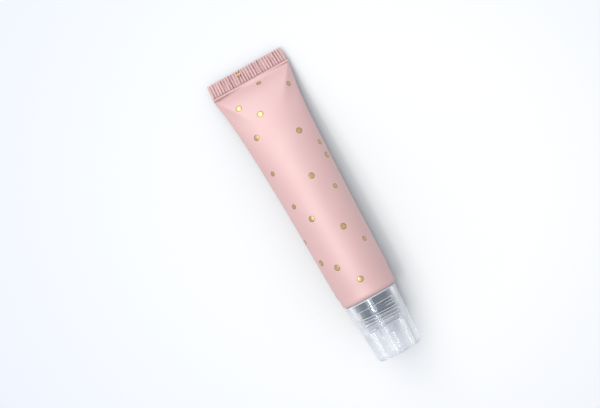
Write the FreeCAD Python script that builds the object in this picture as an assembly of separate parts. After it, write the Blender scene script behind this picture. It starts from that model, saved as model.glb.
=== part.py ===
import FreeCAD, Part
import math
import os

# A small soft squeeze tube of lip balm with a clear screw cap, lying on its side.
#
# Millimetres. +X runs along the tube from the crimped seal to the cap, +Y is across
# the wide side of the seal and +Z is up. The origin is the middle of the part's
# footprint, on the surface that the tube lies on.
#
# "along" is a distance from the foot of the seal towards the cap, and "turn" is an
# angle round the tube in degrees, 0 at the top and positive towards +Y.

Vector = FreeCAD.Vector

# ---- sleeve: one extruded tube, pressed flat and heat-sealed at the tail ----
SLEEVE_DIAMETER = 19.0
SLEEVE_WALL = 0.45
BODY_LENGTH = 76.2          # foot of the seal to the shoulder face
SEAL_GATHER_WIDTH = 1.6     # flattened half width that the seal's ribs take up
CORNER_FLARE_WIDTH = 1.9    # sharp widening of each side beside the seal
CORNER_FLARE_LENGTH = 12.5  # how fast that widening dies away
SPREAD_EASE = 1.3           # above 1, the slow widening starts gently at the round end
FOOT_THICKNESS = 3.0        # the body where it meets the seal's lip
HEIGHT_EASE = 3.0           # above 1, the body keeps its full height over more length
HEIGHT_POWER = 0.75         # below 1, the body swells faster beside the seal
SEAL_LIFT_HEIGHT = 0.8      # the foot of the seal rides this far above the surface
SEAL_LIFT_LENGTH = 20.0     # stretch of the underside that rises to it
CONTACT_SINK = 0.12         # the soft belly flattens by this much where it lies
RIM_LENGTH = 3.0            # round, untapered end of the sleeve
RIM_ROUND = 1.4             # outer corner of the sleeve's turned-in end
RIM_BORE_RADIUS = 8.0       # edge of the turned-in end on the shoulder

# ---- seal: the plain lip at its foot and the ribbed crimp beyond it ----
LIP_LENGTH = 0.7
LIP_THICKNESS = 1.2
LIP_ROOT_LENGTH = 0.4       # the lip runs on this far inside the body
LIP_ROOT_STEP = 0.05        # and is this much slimmer than the body all round there
CRIMP_LENGTH = 4.25
CRIMP_THICKNESS = 0.9
CRIMP_ROOT_LENGTH = 0.4     # the crimp runs on this far inside the lip
CRIMP_STEP_WIDTH = 0.1      # each side steps in by this much from the body's foot
CRIMP_TAPER_WIDTH = 0.3     # each side narrows by this much towards the tail
RIB_COUNT = 28
RIB_HEIGHT = 0.2            # crest of a rib above the crimp's mean face

# ---- head: shoulder, collar, threaded neck and nozzle, moulded in one ----
FLANGE_THICKNESS = 1.2
COLLAR_RADIUS = 6.0
COLLAR_LENGTH = 2.6
NECK_RADIUS = 5.65
NECK_LENGTH = 9.4           # shoulder face to the end of the neck
NECK_BORE_RADIUS = 4.2
NECK_ROOF = 1.1             # thickness of the neck's closed end
NECK_ROUND = 0.5
THREAD_HEIGHT = 0.6
THREAD_PITCH = 2.0
THREAD_TURNS = 2.6
THREAD_FOOT_WIDTH = 1.0
THREAD_CREST_WIDTH = 0.4
THREAD_START_LENGTH = 3.6   # middle of the first turn, from the shoulder face
THREAD_SUNK = 0.15          # the ridge's foot reaches this far into the neck
NOZZLE_LENGTH = 3.2
NOZZLE_RADIUS = 3.3
NOZZLE_TIP_RADIUS = 2.9
NOZZLE_ROUND = 0.8
ORIFICE_RADIUS = 0.9

# ---- cap: thick clear moulding, bored wide for the neck and narrow for the nozzle ----
CAP_LENGTH = 19.45
CAP_SEAT_GAP = 0.25         # mouth of the cap to the shoulder face
CAP_MOUTH_RADIUS = 8.5
CAP_END_RADIUS = 7.4
CAP_END_ROUND = 1.6
CAP_MOUTH_ROUND = 0.25
CAP_THREAD_CLEARANCE = 0.15  # cap bore to the crest of the neck's thread
CAP_WIDE_BORE_LENGTH = 9.8
CAP_BORE_STEP_LENGTH = 0.3
CAP_NOZZLE_CLEARANCE = 1.1   # narrow bore to the nozzle's side
CAP_BORE_DRAFT = 0.3         # narrowing of the narrow bore over its length
CAP_BORE_ROUND = 0.8
CAP_END_WALL = 0.9

# ---- balm: what the tube is filled with ----
FILL_CLEARANCE = 0.1
FILL_HEADSPACE = 7.0        # empty stretch behind the seal
FILL_NECK_CLEARANCE = 0.2   # end of the filling to the neck's closed end

# ---- gold foil dots: a common scattered spot pattern, stamped on the sleeve ----
DOT_THICKNESS = 0.08
LARGE_DOT = 1.0
SMALL_DOT = 0.8
DOT_TOOL_REACH = 0.6        # how far a dot's round cutter reaches each way
# share of the body length from the seal, turn, radius
DOTS_ABOVE = [
    (0.024, 8.0, SMALL_DOT), (0.077, -37.0, LARGE_DOT), (0.085, 53.4, SMALL_DOT),
    (0.140, -12.0, LARGE_DOT), (0.218, -38.2, LARGE_DOT), (0.275, 30.4, LARGE_DOT),
    (0.356, 62.4, SMALL_DOT), (0.377, -50.0, SMALL_DOT), (0.415, 64.6, LARGE_DOT),
    (0.459, 11.7, LARGE_DOT), (0.535, -45.3, SMALL_DOT), (0.541, 43.8, SMALL_DOT),
    (0.612, -25.1, LARGE_DOT), (0.682, -74.8, SMALL_DOT), (0.699, 18.5, LARGE_DOT),
    (0.783, 45.7, SMALL_DOT), (0.787, -59.1, LARGE_DOT), (0.833, -29.3, LARGE_DOT),
    (0.917, -0.9, LARGE_DOT),
]
DOTS_BELOW = [
    (0.060, 150.0, LARGE_DOT), (0.110, 212.0, SMALL_DOT), (0.170, 118.0, LARGE_DOT),
    (0.190, 247.0, SMALL_DOT), (0.240, 204.0, LARGE_DOT), (0.300, 152.0, SMALL_DOT),
    (0.345, 232.0, LARGE_DOT), (0.400, 122.0, SMALL_DOT), (0.450, 208.0, SMALL_DOT),
    (0.490, 98.0, LARGE_DOT), (0.510, 150.0, LARGE_DOT), (0.560, 251.0, LARGE_DOT),
    (0.620, 130.0, SMALL_DOT), (0.650, 212.0, SMALL_DOT), (0.720, 154.0, LARGE_DOT),
    (0.740, 100.0, SMALL_DOT), (0.800, 228.0, LARGE_DOT), (0.850, 126.0, SMALL_DOT),
    (0.905, 206.0, SMALL_DOT), (0.925, 104.0, SMALL_DOT), (0.940, 272.0, LARGE_DOT),
]
CRIMP_DOT_ACROSS = -2.3     # the one dot that falls on the crimp's ribs
CRIMP_DOT_FROM_TAIL = 1.25

# ---- how finely the sleeve's surfaces are drawn ----
SHORTEST_EDGE = 1e-6
OVAL_POINTS = 24
SLEEVE_STATIONS = 12
STATION_CROWDING = 2.2      # above 1, stations crowd towards the seal
CAVITY_START = 0.6          # the cavity starts this far from the foot of the seal

# ---- places worked out from the sizes above ----
SLEEVE_RADIUS = SLEEVE_DIAMETER / 2
AXIS_HEIGHT = SLEEVE_RADIUS - CONTACT_SINK
FOOT_HALF_WIDTH = math.pi * SLEEVE_RADIUS / 2 - SEAL_GATHER_WIDTH
SLOW_SPREAD_WIDTH = FOOT_HALF_WIDTH - SLEEVE_RADIUS - CORNER_FLARE_WIDTH
CRIMP_WIDTH = 2 * (FOOT_HALF_WIDTH - CRIMP_STEP_WIDTH)
TAPER_LENGTH = BODY_LENGTH - RIM_LENGTH
FLANGE_RADIUS = SLEEVE_RADIUS - SLEEVE_WALL
FLANGE_ROUND = RIM_ROUND - SLEEVE_WALL
OVERALL_LENGTH = CRIMP_LENGTH + LIP_LENGTH + BODY_LENGTH + CAP_SEAT_GAP + CAP_LENGTH
TAIL_X = -OVERALL_LENGTH / 2
LIP_X = TAIL_X + CRIMP_LENGTH
BODY_X = LIP_X + LIP_LENGTH
TAPER_END_X = BODY_X + TAPER_LENGTH
SHOULDER_X = BODY_X + BODY_LENGTH
FLANGE_X = SHOULDER_X - SLEEVE_WALL - FLANGE_THICKNESS
NECK_END_X = SHOULDER_X + NECK_LENGTH
NOZZLE_END_X = NECK_END_X + NOZZLE_LENGTH
CAP_MOUTH_X = SHOULDER_X + CAP_SEAT_GAP
CAP_END_X = CAP_MOUTH_X + CAP_LENGTH
THREAD_CREST_RADIUS = NECK_RADIUS + THREAD_HEIGHT
CAP_WIDE_BORE_RADIUS = THREAD_CREST_RADIUS + CAP_THREAD_CLEARANCE
CAP_NARROW_BORE_RADIUS = NOZZLE_RADIUS + CAP_NOZZLE_CLEARANCE


def taper_left(along):
    """Share of the sleeve's taper still to come: 1 at the seal, 0 at the round end."""
    return max(0, 1 - along / TAPER_LENGTH)


def half_width(along):
    """Half the sleeve's width, which grows from the round end to the flat seal."""
    left = taper_left(along)
    spread = SLOW_SPREAD_WIDTH * left ** SPREAD_EASE
    flare = CORNER_FLARE_WIDTH * left ** (TAPER_LENGTH / CORNER_FLARE_LENGTH)
    return SLEEVE_RADIUS + spread + flare


def half_height(along):
    """Half the sleeve's height, which swells quickly from the seal to the round end."""
    swell = (1 - taper_left(along) ** HEIGHT_EASE) ** HEIGHT_POWER
    return FOOT_THICKNESS / 2 + (SLEEVE_RADIUS - FOOT_THICKNESS / 2) * swell


def centre_height(along):
    """Height of the oval's centre. The underside runs straight, then lifts at the seal."""
    rise = max(0, 1 - along / SEAL_LIFT_LENGTH)
    return half_height(along) - CONTACT_SINK + SEAL_LIFT_HEIGHT * rise ** 2


def oval(x, wide, high, centre_z):
    """A closed oval wire in the plane at x, from its half width and half height."""
    shares = [i / OVAL_POINTS for i in range(OVAL_POINTS + 1)]
    angles = [2 * math.pi * share for share in shares[:-1]]
    points = [Vector(x, wide * math.cos(angle), centre_z + high * math.sin(angle))
              for angle in angles]
    curve = Part.BSplineCurve()
    curve.interpolate(Points=points, PeriodicFlag=True, Parameters=shares)
    return Part.Wire([curve.toShape()])


def sleeve_form(inset, start, end, end_round=0):
    """
    The sleeve's form between two distances along it, as a solid, with its sides moved
    inwards by inset: tapered as far as the rim, then round, with its end corner rounded.
    """
    stations = []
    for i in range(SLEEVE_STATIONS + 1):
        share = (i / SLEEVE_STATIONS) ** STATION_CROWDING
        stations.append(start + (TAPER_LENGTH - start) * share)
    stations += [(TAPER_LENGTH + end) / 2, end]
    sections = [oval(BODY_X + along, half_width(along) - inset,
                     half_height(along) - inset, centre_height(along))
                for along in stations]
    form = Part.makeLoft(sections, True, False)
    if end_round == 0:
        return form
    end_edges = [edge for edge in form.Edges if edge.optimalBoundingBox().XMin > TAPER_END_X]
    return form.makeFillet(end_round, end_edges)


def turned(corners):
    """
    A solid turned about the tube's axis. Each corner of its half profile is
    (x, radius, rounding), and a rounding of 0 leaves the corner sharp.
    """
    points = [Vector(x, 0, AXIS_HEIGHT + radius) for x, radius, _ in corners]
    edges = []
    ends = []
    for i, (_, _, rounding) in enumerate(corners):
        here = points[i]
        back = (points[i - 1] - here).normalize()
        on = (points[(i + 1) % len(points)] - here).normalize()
        if rounding == 0:
            ends.append((here, here))
            continue
        half_angle = back.getAngle(on) / 2
        reach = rounding / math.tan(half_angle)
        first = here + back * reach
        last = here + on * reach
        middle = here + (back + on).normalize() * (rounding / math.sin(half_angle) - rounding)
        edges.append(Part.Arc(first, middle, last).toShape())
        ends.append((first, last))
    for i, (_, last) in enumerate(ends):
        following = ends[(i + 1) % len(ends)][0]
        if (following - last).Length > SHORTEST_EDGE:
            edges.append(Part.makeLine(last, following))
    profile = Part.Face(Part.Wire(Part.__sortEdges__(edges)))
    return profile.revolve(Vector(0, 0, AXIS_HEIGHT), Vector(1, 0, 0), 360)


def crimp_section(x, width, raised):
    """The crimp's wavy section at x: its ribs stand up on one face and sink on the other."""
    middle = centre_height(0) + raised
    step = width / RIB_COUNT / 2
    wave_count = RIB_COUNT * 2

    def wave(i, side, across):
        base = middle + side * CRIMP_THICKNESS / 2
        crest = base + RIB_HEIGHT * (1 if i % 2 == 0 else -1)
        return Part.Arc(Vector(x, across, base), Vector(x, across + step / 2, crest),
                        Vector(x, across + step, base)).toShape()

    edges = []
    for side in (1, -1):
        for i in range(wave_count):
            edges.append(wave(i, side, -width / 2 + i * step))
    for across in (-width / 2, width / 2):
        edges.append(Part.makeLine(Vector(x, across, middle - CRIMP_THICKNESS / 2),
                                   Vector(x, across, middle + CRIMP_THICKNESS / 2)))
    return Part.Wire(Part.__sortEdges__(edges))


def crimp_form(raised=0):
    """The ribbed crimp as a solid, a little narrower at the tail."""
    tail = crimp_section(TAIL_X, CRIMP_WIDTH - 2 * CRIMP_TAPER_WIDTH, raised)
    foot = crimp_section(LIP_X + CRIMP_ROOT_LENGTH, CRIMP_WIDTH, raised)
    return Part.makeLoft([tail, foot], True, True)


def lip_form():
    """The plain lip between the crimp's ribs and the open body."""
    thin = oval(LIP_X, CRIMP_WIDTH / 2, LIP_THICKNESS / 2, centre_height(0))
    thick = oval(BODY_X + LIP_ROOT_LENGTH, half_width(0) - LIP_ROOT_STEP,
                 half_height(0) - LIP_ROOT_STEP, centre_height(0))
    return Part.makeLoft([thin, thick], True, True)


def above_surface(shape):
    """The part of a shape that is above the surface the tube lies on."""
    reach = OVERALL_LENGTH
    below = Part.makeBox(2 * reach, 2 * reach, reach, Vector(-reach, -reach, -reach))
    return shape.cut(below)


def build_sleeve():
    """The printed sleeve: tapered body, lip, ribbed crimp and the end turned over the shoulder."""
    body = sleeve_form(0, 0, BODY_LENGTH, RIM_ROUND)
    cavity = sleeve_form(SLEEVE_WALL, CAVITY_START, BODY_LENGTH - SLEEVE_WALL, FLANGE_ROUND)
    rim_bore = turned([
        (TAPER_END_X, 0, 0),
        (TAPER_END_X, RIM_BORE_RADIUS, 0),
        (SHOULDER_X, RIM_BORE_RADIUS, 0),
        (SHOULDER_X, 0, 0),
    ])
    shell = body.cut(cavity).cut(rim_bore)
    return above_surface(shell.fuse([lip_form(), crimp_form()]))


def thread_ridge():
    """The neck's helical ridge."""
    height = THREAD_TURNS * THREAD_PITCH
    helix = Part.makeHelix(THREAD_PITCH, height, NECK_RADIUS)
    foot = THREAD_FOOT_WIDTH / 2
    crest = THREAD_CREST_WIDTH / 2
    corners = [
        Vector(NECK_RADIUS - THREAD_SUNK, 0, -foot), Vector(THREAD_CREST_RADIUS, 0, -crest),
        Vector(THREAD_CREST_RADIUS, 0, crest), Vector(NECK_RADIUS - THREAD_SUNK, 0, foot),
    ]
    profile = Part.makePolygon(corners + corners[:1])
    ridge = Part.Wire(helix.Edges).makePipeShell([profile], True, True)
    ridge.rotate(Vector(0, 0, 0), Vector(0, 1, 0), 90)
    ridge.translate(Vector(SHOULDER_X + THREAD_START_LENGTH, 0, AXIS_HEIGHT))
    return ridge


def build_head():
    """The head: flange behind the sleeve's rim, collar, threaded neck, nozzle and orifice."""
    bore_end = NECK_END_X - NECK_ROOF
    core = turned([
        (FLANGE_X, NECK_BORE_RADIUS, 0),
        (FLANGE_X, FLANGE_RADIUS, 0),
        (SHOULDER_X - SLEEVE_WALL, FLANGE_RADIUS, FLANGE_ROUND),
        (SHOULDER_X - SLEEVE_WALL, RIM_BORE_RADIUS, 0),
        (SHOULDER_X, RIM_BORE_RADIUS, 0),
        (SHOULDER_X, COLLAR_RADIUS, 0),
        (SHOULDER_X + COLLAR_LENGTH, COLLAR_RADIUS, 0),
        (SHOULDER_X + COLLAR_LENGTH, NECK_RADIUS, 0),
        (NECK_END_X, NECK_RADIUS, NECK_ROUND),
        (NECK_END_X, NOZZLE_RADIUS, 0),
        (NOZZLE_END_X, NOZZLE_TIP_RADIUS, NOZZLE_ROUND),
        (NOZZLE_END_X, ORIFICE_RADIUS, 0),
        (bore_end, ORIFICE_RADIUS, 0),
        (bore_end, NECK_BORE_RADIUS, 0),
    ])
    return core.fuse(thread_ridge()).removeSplitter()


def build_cap():
    """The clear cap, bored wide for the threaded neck and narrow for the nozzle."""
    wide_end = CAP_MOUTH_X + CAP_WIDE_BORE_LENGTH
    narrow_start = wide_end + CAP_BORE_STEP_LENGTH
    bore_end = CAP_END_X - CAP_END_WALL
    return turned([
        (CAP_END_X, 0, 0),
        (CAP_END_X, CAP_END_RADIUS, CAP_END_ROUND),
        (CAP_MOUTH_X, CAP_MOUTH_RADIUS, CAP_MOUTH_ROUND),
        (CAP_MOUTH_X, CAP_WIDE_BORE_RADIUS, CAP_MOUTH_ROUND),
        (wide_end, CAP_WIDE_BORE_RADIUS, 0),
        (narrow_start, CAP_NARROW_BORE_RADIUS, 0),
        (bore_end, CAP_NARROW_BORE_RADIUS - CAP_BORE_DRAFT, CAP_BORE_ROUND),
        (bore_end, 0, 0),
    ])


def build_balm():
    """The balm that fills the sleeve and the neck, short of a headspace behind the seal."""
    inset = SLEEVE_WALL + FILL_CLEARANCE
    body_end = FLANGE_X - FILL_CLEARANCE
    neck_end = NECK_END_X - NECK_ROOF - FILL_NECK_CLEARANCE
    filling = sleeve_form(inset, FILL_HEADSPACE, body_end - BODY_X)
    plug = turned([
        (TAPER_END_X, 0, 0),
        (TAPER_END_X, NECK_BORE_RADIUS - FILL_CLEARANCE, 0),
        (neck_end, NECK_BORE_RADIUS - FILL_CLEARANCE, 0),
        (neck_end, 0, 0),
    ])
    return filling.fuse(plug)


def dot_tool(share, turn, radius):
    """A round cutter through the sleeve's surface, square to it."""
    along = share * BODY_LENGTH
    wide = half_width(along)
    high = half_height(along)
    angle = math.radians(turn)
    place = Vector(BODY_X + along, wide * math.sin(angle),
                   centre_height(along) + high * math.cos(angle))
    outward = Vector(0, math.sin(angle) / wide, math.cos(angle) / high).normalize()
    return Part.makeCylinder(radius, 2 * DOT_TOOL_REACH, place - outward * DOT_TOOL_REACH, outward)


def build_foil_dots():
    """Every foil dot, each a thin disc that follows the surface under it."""
    tools = Part.makeCompound([dot_tool(*dot) for dot in DOTS_ABOVE + DOTS_BELOW])
    raised = sleeve_form(-DOT_THICKNESS, 0, BODY_LENGTH)
    on_body = tools.common(raised).cut(sleeve_form(0, 0, BODY_LENGTH))
    crimp_tool = Part.makeCylinder(
        SMALL_DOT, 2 * DOT_TOOL_REACH,
        Vector(TAIL_X + CRIMP_DOT_FROM_TAIL, CRIMP_DOT_ACROSS,
               centre_height(0) + CRIMP_THICKNESS / 2 - DOT_TOOL_REACH))
    on_crimp = crimp_form(DOT_THICKNESS).cut(crimp_form()).common(crimp_tool)
    return Part.makeCompound(on_body.Solids + on_crimp.Solids)


def main():
    """Write every piece of the tube to its own STEP file."""
    os.makedirs("parts", exist_ok=True)
    builders = {
        "sleeve": build_sleeve,
        "threaded_head": build_head,
        "screw_cap": build_cap,
        "balm_filling": build_balm,
        "foil_dots": build_foil_dots,
    }
    for name, builder in builders.items():
        shape = builder()
        box = shape.optimalBoundingBox()
        print(f"{name}: {len(shape.Solids)} solids, valid {shape.isValid()}, "
              f"{shape.Volume:.1f} mm3, {box.XMin:.2f} {box.XMax:.2f} "
              f"{box.YMin:.2f} {box.YMax:.2f} {box.ZMin:.2f} {box.ZMax:.2f}")
        shape.exportStep(f"parts/{name}.step")


main()
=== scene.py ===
import logging
import math
from abc import ABC, abstractmethod
from dataclasses import dataclass
from enum import Enum
from functools import lru_cache

import bmesh
import bpy
from mathutils import Matrix, Vector, noise


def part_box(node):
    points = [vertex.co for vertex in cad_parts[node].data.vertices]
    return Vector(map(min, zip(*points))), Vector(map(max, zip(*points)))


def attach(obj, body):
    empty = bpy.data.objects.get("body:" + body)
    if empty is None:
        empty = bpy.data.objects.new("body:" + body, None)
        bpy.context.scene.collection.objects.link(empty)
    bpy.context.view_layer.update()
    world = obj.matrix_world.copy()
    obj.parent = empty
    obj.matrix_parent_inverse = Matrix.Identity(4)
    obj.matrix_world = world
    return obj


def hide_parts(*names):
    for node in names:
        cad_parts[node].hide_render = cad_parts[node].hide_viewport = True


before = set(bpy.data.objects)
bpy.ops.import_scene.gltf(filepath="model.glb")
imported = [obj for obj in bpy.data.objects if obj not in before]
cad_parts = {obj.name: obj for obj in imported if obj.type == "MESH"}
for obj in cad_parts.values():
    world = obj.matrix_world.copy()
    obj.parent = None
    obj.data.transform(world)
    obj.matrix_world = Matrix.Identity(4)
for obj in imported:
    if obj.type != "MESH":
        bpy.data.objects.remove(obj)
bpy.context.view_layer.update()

# The looks of a small soft squeeze tube of lip balm: a satin pink sleeve with a ribbed
# crimp, scattered gold foil dots, a threaded head and a thick clear screw cap.
#
# The classes work in millimetres, and a finished mesh is scaled to metres. +X runs from
# the crimp to the cap, +Y across the crimp and +Z up. "along" is a distance from the
# foot of the seal towards the cap, negative in the seal, and "turn" is an angle round
# the tube in radians, 0 at the top and positive towards +Y.

LOG = logging.getLogger("lip_balm_tube")
MM = 0.001
WELD = 0.0005
# Painted shade: this vertex value holds how dark the sleeve's film is painted in the
# crimp's pressed grooves, along the foot of the ribs and in the crease under the lip.
PAINTED_SHADE = "painted_shade"
REACH = "reach"
QUARTER_TURN = math.pi / 2

Socket = bpy.types.NodeSocket
Shape = bmesh.types.BMesh
Piece = bpy.types.Object
Span = tuple[float, float]


class Body(Enum):
    """The bodies that the pieces ride on."""

    TUBE = "tube"
    CAP = "cap"


# ---------------------------------------------------------------- small shared sums


def mix(first: float, second: float, share: float) -> float:
    """Return the value a share of the way from first to second."""
    return first + (second - first) * share


def ease(start: float, end: float, value: float) -> float:
    """Return 0 before start and 1 after end, with a smooth rise between them."""
    share = min(1.0, max(0.0, (value - start) / (end - start)))
    return share * share * (3 - 2 * share)


def bell(value: float, middle: float, width: float) -> float:
    """Return a smooth bump that is 1 at middle and dies away over width."""
    return math.exp(-(((value - middle) / width) ** 2))


def soft_lower(first: float, second: float, blend: float) -> float:
    """Return the lower of two values, with the corner between them rounded by blend."""
    share = min(1.0, max(0.0, 0.5 + 0.5 * (second - first) / blend))
    return mix(second, first, share) - blend * share * (1 - share)


# ---------------------------------------------------------------- places from the frame


@dataclass(frozen=True)
class Places:
    """The places that the pieces share, in millimetres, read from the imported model."""

    tail_x: float
    shoulder_x: float
    flange_x: float
    nozzle_end_x: float
    cap_mouth_x: float
    cap_end_x: float
    axis_z: float

    @classmethod
    def read(cls) -> "Places":
        """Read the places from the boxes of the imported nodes.

        Returns:
            The places, in millimetres.
        """
        sleeve_low, sleeve_high = (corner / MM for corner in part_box("sleeve"))
        head_low, head_high = (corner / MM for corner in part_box("threaded_head"))
        cap_low, cap_high = (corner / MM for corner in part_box("screw_cap"))
        return cls(
            tail_x=sleeve_low.x,
            shoulder_x=sleeve_high.x,
            flange_x=head_low.x,
            nozzle_end_x=head_high.x,
            cap_mouth_x=cap_low.x,
            cap_end_x=cap_high.x,
            axis_z=(head_low.z + head_high.z) / 2,
        )


# ---------------------------------------------------------------- finishes


class Nodes:
    """A node tree with short calls that add and join nodes."""

    def __init__(self, tree: bpy.types.NodeTree) -> None:
        """Start on a tree, emptied of what it holds."""
        self.tree = tree
        tree.nodes.clear()

    def add(self, kind: str, inputs: dict | None = None, **settings) -> bpy.types.Node:
        """Add a node.

        Args:
            kind: The node's type name, without its ShaderNode prefix.
            inputs: Values or output sockets for the inputs, by name or number.
            settings: Values for the node's own properties.

        Returns:
            The new node.
        """
        node = self.tree.nodes.new("ShaderNode" + kind)
        for name, value in settings.items():
            setattr(node, name, value)
        for name, value in (inputs or {}).items():
            if isinstance(value, Socket):
                self.tree.links.new(value, node.inputs[name])
            else:
                node.inputs[name].default_value = value
        return node

    def socket(self, kind: str, inputs: dict | None = None, **settings) -> Socket:
        """Add a node as add does, and return its first output socket."""
        return self.add(kind, inputs, **settings).outputs[0]

    def place(self) -> Socket:
        """Add the coordinates that stay with the object, and return their socket."""
        return self.add("TexCoord").outputs["Object"]

    def place_along(self) -> Socket:
        """Add the place along the tube's axis, in metres, and return its socket."""
        return self.socket("SeparateXYZ", {0: self.place()})

    def mark(self, name: str) -> Socket:
        """Add a value that a mesh holds at its vertices, and return its socket."""
        return self.add("Attribute", attribute_name=name).outputs["Fac"]

    def ray(self, kind: str) -> Socket:
        """Add the test that a ray is of one kind, and return its socket."""
        return self.add("LightPath").outputs[f"Is {kind} Ray"]

    def greater(self, first: Socket, second: Socket) -> Socket:
        """Take the greater of two values, and return its socket."""
        return self.socket("Math", {0: first, 1: second}, operation="MAXIMUM")

    def speckle(self, scale: float, detail: float = 2.0) -> Socket:
        """Add noise with a scale in features per metre, and return its value socket."""
        inputs = {"Vector": self.place(), "Scale": scale, "Detail": detail}
        return self.socket("TexNoise", inputs)

    def spread(self, value: Socket, low: float, high: float,
               start: float = 0.3, end: float = 0.7) -> Socket:
        """Map a value from start and end to low and high.

        Args:
            value: The socket to map.
            low: The result at start.
            high: The result at end.
            start: The value that gives low.
            end: The value that gives high.

        Returns:
            The socket with the result.
        """
        inputs = {"Value": value, "From Min": start, "From Max": end,
                  "To Min": low, "To Max": high}
        return self.socket("MapRange", inputs)

    def blend(self, share: Socket, first: tuple | Socket, second: tuple) -> Socket:
        """Mix two colours.

        Args:
            share: The second colour's share.
            first: The first colour, or its socket.
            second: The second colour.

        Returns:
            The mixed colour's socket.
        """
        if isinstance(first, tuple):
            first = (*first, 1.0)
        inputs = {0: share, 6: first, 7: (*second, 1.0)}
        return self.add("Mix", inputs, data_type="RGBA").outputs[2]

    def mottle(self, scale: float, first: tuple, second: tuple) -> Socket:
        """Mix two colours by noise of a scale, and return the colour's socket."""
        return self.blend(self.spread(self.speckle(scale, 3.0), 0.0, 1.0), first, second)

    def matt(self, colour: tuple) -> Socket:
        """Add a matt shader of one colour, and return its socket."""
        return self.socket("BsdfDiffuse", {"Color": (*colour, 1.0)})

    def layered(self, share: Socket, first: Socket, second: Socket) -> Socket:
        """Mix two shaders by the second one's share, and return the mixture's socket."""
        return self.socket("MixShader", {0: share, 1: first, 2: second})


@dataclass(frozen=True)
class Finish(ABC):
    """A surface finish, which builds one material."""

    name: str

    def build(self) -> bpy.types.Material:
        """Build the finish's material.

        Returns:
            The new material.
        """
        material = bpy.data.materials.new(self.name)
        material.use_nodes = True
        nodes = Nodes(material.node_tree)
        nodes.add("OutputMaterial", {"Surface": self.lay(nodes)})
        return material

    @abstractmethod
    def lay(self, nodes: Nodes) -> Socket:
        """Lay the finish's nodes out.

        Args:
            nodes: The empty tree.

        Returns:
            The whole shader's socket.
        """


@dataclass(frozen=True)
class GrainedFinish(Finish):
    """A finish with an uneven gloss and a fine grain.

    A scale is in features per metre, and the grain's depth is in metres.
    """

    gloss_scale: float
    smooth: float
    dull: float
    grain_scale: float
    grain_depth: float
    grain_detail: float = 2.0

    def gloss(self, nodes: Nodes) -> Socket:
        """Add the uneven roughness, and return its socket."""
        return nodes.spread(nodes.speckle(self.gloss_scale), self.smooth, self.dull)

    def grain(self, nodes: Nodes) -> Socket:
        """Add the fine relief, and return its socket."""
        height = nodes.speckle(self.grain_scale, self.grain_detail)
        return nodes.socket("Bump", {"Height": height, "Distance": self.grain_depth,
                                     "Strength": 1.0})


@dataclass(frozen=True)
class SatinFilm(GrainedFinish):
    """The sleeve's printed film: a pearly satin pink, very slightly mottled."""

    pale: tuple = (0.66, 0.375, 0.37)
    deep: tuple = (0.63, 0.345, 0.34)
    # painted shade: the colour that the film takes in the grooves, along the foot of the
    # ribs and in the crease
    painted_shade: tuple = (0.24, 0.075, 0.11)
    pearl: tuple = (1.0, 0.97, 0.96)
    pearl_share: float = 0.2
    pearl_gloss: float = 0.62
    bounce: tuple = (0.14, 0.12, 0.15)
    shine: float = 0.05
    mottle_scale: float = 90.0
    gloss_scale: float = 400.0
    smooth: float = 0.38
    dull: float = 0.46
    grain_scale: float = 2600.0
    grain_depth: float = 0.000012

    def lay(self, nodes: Nodes) -> Socket:
        """Lay out a mottled pink under a broad pearly gloss, with painted shade in the
        grooves, along the foot of the ribs and in the crease, where the gloss fades out.

        Args:
            nodes: The empty tree.

        Returns:
            The whole shader's socket.
        """
        colour = nodes.mottle(self.mottle_scale, self.pale, self.deep)
        # Painted shade: the vertex value darkens the pink and fades the pearly gloss in
        # the grooves, along the foot of the ribs and in the crease.
        in_painted_shade = nodes.mark(PAINTED_SHADE)
        grain = self.grain(nodes)
        film = nodes.socket("BsdfPrincipled", {
            "Base Color": nodes.blend(in_painted_shade, colour, self.painted_shade),
            "Roughness": self.gloss(nodes),
            "Normal": grain,
            "Specular IOR Level": self.shine,
        })
        pearl = nodes.socket("BsdfAnisotropic", {
            "Color": (*self.pearl, 1.0),
            "Roughness": self.pearl_gloss,
            "Normal": grain,
        })
        share = nodes.spread(in_painted_shade, self.pearl_share, 0.0, 0.0, 1.0)
        seen = nodes.layered(share, film, pearl)
        return nodes.layered(nodes.ray("Diffuse"), seen, nodes.matt(self.bounce))


@dataclass(frozen=True)
class GoldFoil(GrainedFinish):
    """Hot-stamped gold foil: a soft metal with a faint grain, and painted shade on its
    rim in place of the darker reflection that its sloping edge would show.
    """

    bright: tuple = (0.56, 0.41, 0.23)
    worn: tuple = (0.44, 0.29, 0.13)
    # painted shade: the rim's colour stands in for the darker reflection of the dot's
    # sloping edge
    rim: tuple = (0.30, 0.19, 0.09)
    rim_start: float = 0.62
    rim_end: float = 0.9
    wear_scale: float = 1400.0
    wear_start: float = 0.35
    wear_end: float = 0.8
    gloss_scale: float = 900.0
    smooth: float = 0.26
    dull: float = 0.34
    grain_scale: float = 3000.0
    grain_depth: float = 0.000006

    def lay(self, nodes: Nodes) -> Socket:
        """Lay out a gold with a worn tint, an uneven gloss and painted shade on the rim.

        Args:
            nodes: The empty tree.

        Returns:
            The whole shader's socket.
        """
        wear = nodes.spread(nodes.speckle(self.wear_scale, 3.0), 0.0, 1.0,
                            self.wear_start, self.wear_end)
        middle = nodes.blend(wear, self.bright, self.worn)
        # Painted shade: the colour darkens towards the dot's rim.
        rim_shade = nodes.spread(nodes.mark(REACH), 0.0, 1.0,
                                self.rim_start, self.rim_end)
        return nodes.socket("BsdfPrincipled", {
            "Base Color": nodes.blend(rim_shade, middle, self.rim),
            "Metallic": 1.0,
            "Roughness": self.gloss(nodes),
            "Normal": self.grain(nodes),
        })


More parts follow.
